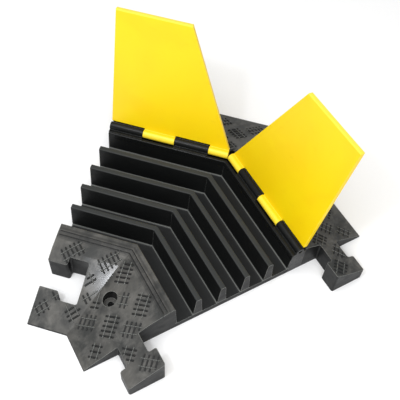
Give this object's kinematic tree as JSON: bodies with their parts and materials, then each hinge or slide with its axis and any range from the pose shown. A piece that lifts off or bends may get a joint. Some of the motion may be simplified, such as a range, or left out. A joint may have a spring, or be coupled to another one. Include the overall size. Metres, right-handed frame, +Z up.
{
  "type": "floor cord cover",
  "caption": "Ramp-sided rubber floor cover that leads cables round a 45 degree bend in open channels under hinged yellow lids.",
  "frame": {"origin": "middle of the section's outline on the floor, at the underside", "axes": "+Z up; +Y across the ramps along the plane of the bend, towards the outer ramp; the arm with the tongues points to +X"},
  "size_m": [0.5392, 0.5654, 0.2638],
  "materials": {
    "black_rubber": "moulded, satin",
    "yellow_urethane": "moulded, satin",
    "steel_rod": "drawn"
  },
  "bodies": {
    "base": {"base": "black_rubber", "hinge_pin_left": "steel_rod", "hinge_pin_right": "steel_rod"},
    "lid_left": {"lid_left": "yellow_urethane"},
    "lid_right": {"lid_right": "yellow_urethane"}
  },
  "joints": [
    {"name": "lid_left_hinge", "type": "hinge", "parent": "base", "child": "lid_left", "pos_m": [-0.16168, 0.08329, 0.052], "axis": [0.9239, 0.3827, 0], "range_deg": [0, 104]},
    {"name": "lid_right_hinge", "type": "hinge", "parent": "base", "child": "lid_right", "pos_m": [0.12151, 0.08329, 0.052], "axis": [0.9239, -0.3827, 0], "range_deg": [0, 104]}
  ]
}
